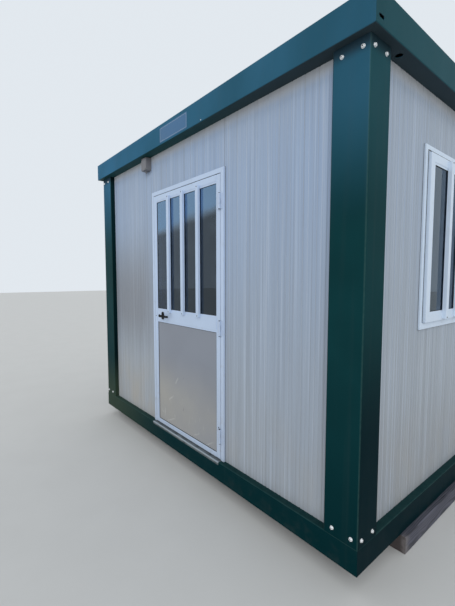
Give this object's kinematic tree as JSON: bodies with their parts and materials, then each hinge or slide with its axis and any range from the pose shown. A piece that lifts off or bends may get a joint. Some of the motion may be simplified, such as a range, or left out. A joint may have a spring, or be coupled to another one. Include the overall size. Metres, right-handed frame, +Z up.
{
  "type": "portable site cabin",
  "caption": "Portable site cabin: folded steel frame, ribbed sandwich panel walls, glazed door and end window behind upright bars, ribbed sheet roof, standing on timber bearers.",
  "frame": {"origin": "on the ground under the middle of the cabin", "axes": "+X along the cabin towards the end with the window, -Y out of the wall with the door, +Z up"},
  "size_m": [3.236, 2.486, 2.8],
  "materials": {
    "frame_green": "satin moss green paint on folded steel",
    "panel_white": "grey-white painted steel skins with fine upright ribs",
    "aluminium_white": "white enamelled aluminium",
    "glass": "clear double glazing",
    "door_panel": "plain light grey skin, scratched",
    "hinge_white": "white enamelled hinges",
    "handle_black": "black moulded plastic",
    "threshold_metal": "bare aluminium",
    "box_plastic": "weathered pale plastic",
    "timber": "grey weathered timber",
    "floor_board": "bonded wood board",
    "ceiling_white": "white lining board",
    "galvanised": "galvanised steel"
  },
  "bodies": {
    "cabin": {"base_beam_front": "frame_green", "base_beam_back": "frame_green", "base_beam_left": "frame_green", "base_beam_right": "frame_green", "corner_post_front_left": "frame_green", "corner_post_front_right": "frame_green", "corner_post_back_left": "frame_green", "corner_post_back_right": "frame_green", "roof_beam_front": "frame_green", "roof_beam_back": "frame_green", "roof_beam_left": "frame_green", "roof_beam_right": "frame_green", "front_wall_left": "panel_white", "front_wall_right": "panel_white", "front_wall_over_door": "panel_white", "back_wall": "panel_white", "left_wall": "panel_white", "right_wall_front": "panel_white", "right_wall_back": "panel_white", "right_wall_over_window": "panel_white", "right_wall_under_window": "panel_white", "door_frame_left": "aluminium_white", "door_frame_right": "aluminium_white", "door_frame_head": "aluminium_white", "window_frame": "aluminium_white", "window_sash": "aluminium_white", "window_bars": "aluminium_white", "window_glass": "glass", "door_hinges_fixed": "hinge_white", "door_threshold": "threshold_metal", "junction_box": "box_plastic", "bearer_left": "timber", "bearer_right": "timber", "floor_deck": "floor_board", "ceiling_panel": "ceiling_white", "floor_joists": "galvanised", "roof_purlins": "galvanised", "roof_sheet": "galvanised"},
    "door": {"door_leaf_frame": "aluminium_white", "door_glass": "glass", "door_lower_panel": "door_panel", "door_bars": "aluminium_white", "door_hinges_leaf": "hinge_white", "door_handle_plate": "handle_black"},
    "handle": {"door_lever": "handle_black"}
  },
  "joints": [
    {"name": "door_swing", "type": "hinge", "parent": "cabin", "child": "door", "pos_m": [0.4745, -1.18, 1.2], "axis": [0, 0, 1], "range_deg": [0, 170]},
    {"name": "lever_turn", "type": "hinge", "parent": "door", "child": "handle", "pos_m": [-0.335, -1.17, 1.23], "axis": [0, 1, 0], "range_deg": [0, 40], "stiffness_Nm_per_rad": 0.8, "springref_deg": -20.05}
  ]
}
